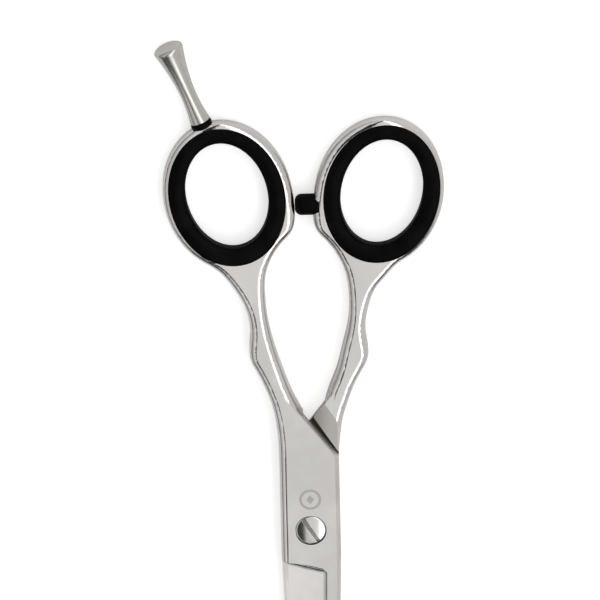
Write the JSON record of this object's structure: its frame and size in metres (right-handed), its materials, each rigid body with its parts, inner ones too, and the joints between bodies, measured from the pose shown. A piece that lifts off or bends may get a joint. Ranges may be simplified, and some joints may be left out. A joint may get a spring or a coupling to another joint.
{
  "type": "hair cutting shears",
  "caption": "Slim hair cutting shears with two offset oval rings, soft ring inserts, a screw-on finger rest, a rubber stop and a slotted pivot screw.",
  "frame": {"origin": "on the pivot screw's axis, at the flat underside of the rear half", "axes": "+Z along the pivot towards the screw's head, +Y along the closed shears towards the rings, +X towards the thumb ring"},
  "size_m": [0.0544, 0.1677, 0.0058],
  "materials": {
    "polished_steel": "polished stainless steel, mirror bright on the rounded edges and fine satin on the flats",
    "satin_steel": "turned and satin finished stainless steel",
    "screw_steel": "bright turned steel",
    "spring_steel": "plain spring steel",
    "bronze": "plain sintered bronze",
    "black_rubber": "smooth black moulded rubber",
    "white_nylon": "natural white nylon"
  },
  "bodies": {
    "finger_side": {"front_half": "polished_steel", "finger_ring_insert": "black_rubber", "pivot_bush": "bronze"},
    "thumb_side": {"rear_half": "polished_steel", "thumb_ring_insert": "black_rubber", "stop_bumper": "black_rubber", "glide_washer": "white_nylon"},
    "tension_screw": {"pivot_screw": "screw_steel", "lock_pellet": "white_nylon", "tension_washer": "spring_steel"},
    "rest_carrier": {"finger_rest_washer": "black_rubber"},
    "rest": {"finger_rest": "satin_steel"}
  },
  "joints": [
    {"name": "pivot", "type": "hinge", "parent": "finger_side", "child": "thumb_side", "pos_m": [0, 0, 0.0028], "axis": [0, 0, -1], "range_deg": [0, 120]},
    {"name": "tension_turn", "type": "hinge", "parent": "thumb_side", "child": "tension_screw", "pos_m": [0, 0, 0.0028], "axis": [0, 0, -1], "range_deg": [-30, 30]},
    {"name": "rest_out", "type": "slide", "parent": "finger_side", "child": "rest_carrier", "axis": [-0.36, 0.933, 0], "range_m": [0, 0.0016]},
    {"name": "rest_turn", "type": "hinge", "parent": "rest_carrier", "child": "rest", "pos_m": [-0.01888, 0.08275, 0.0028], "axis": [-0.36, 0.933, 0], "range_deg": [0, 1440]}
  ],
  "couplings": [
    {"joint": "rest_turn", "follows": "rest_out", "rad_per_m": 15708}
  ]
}
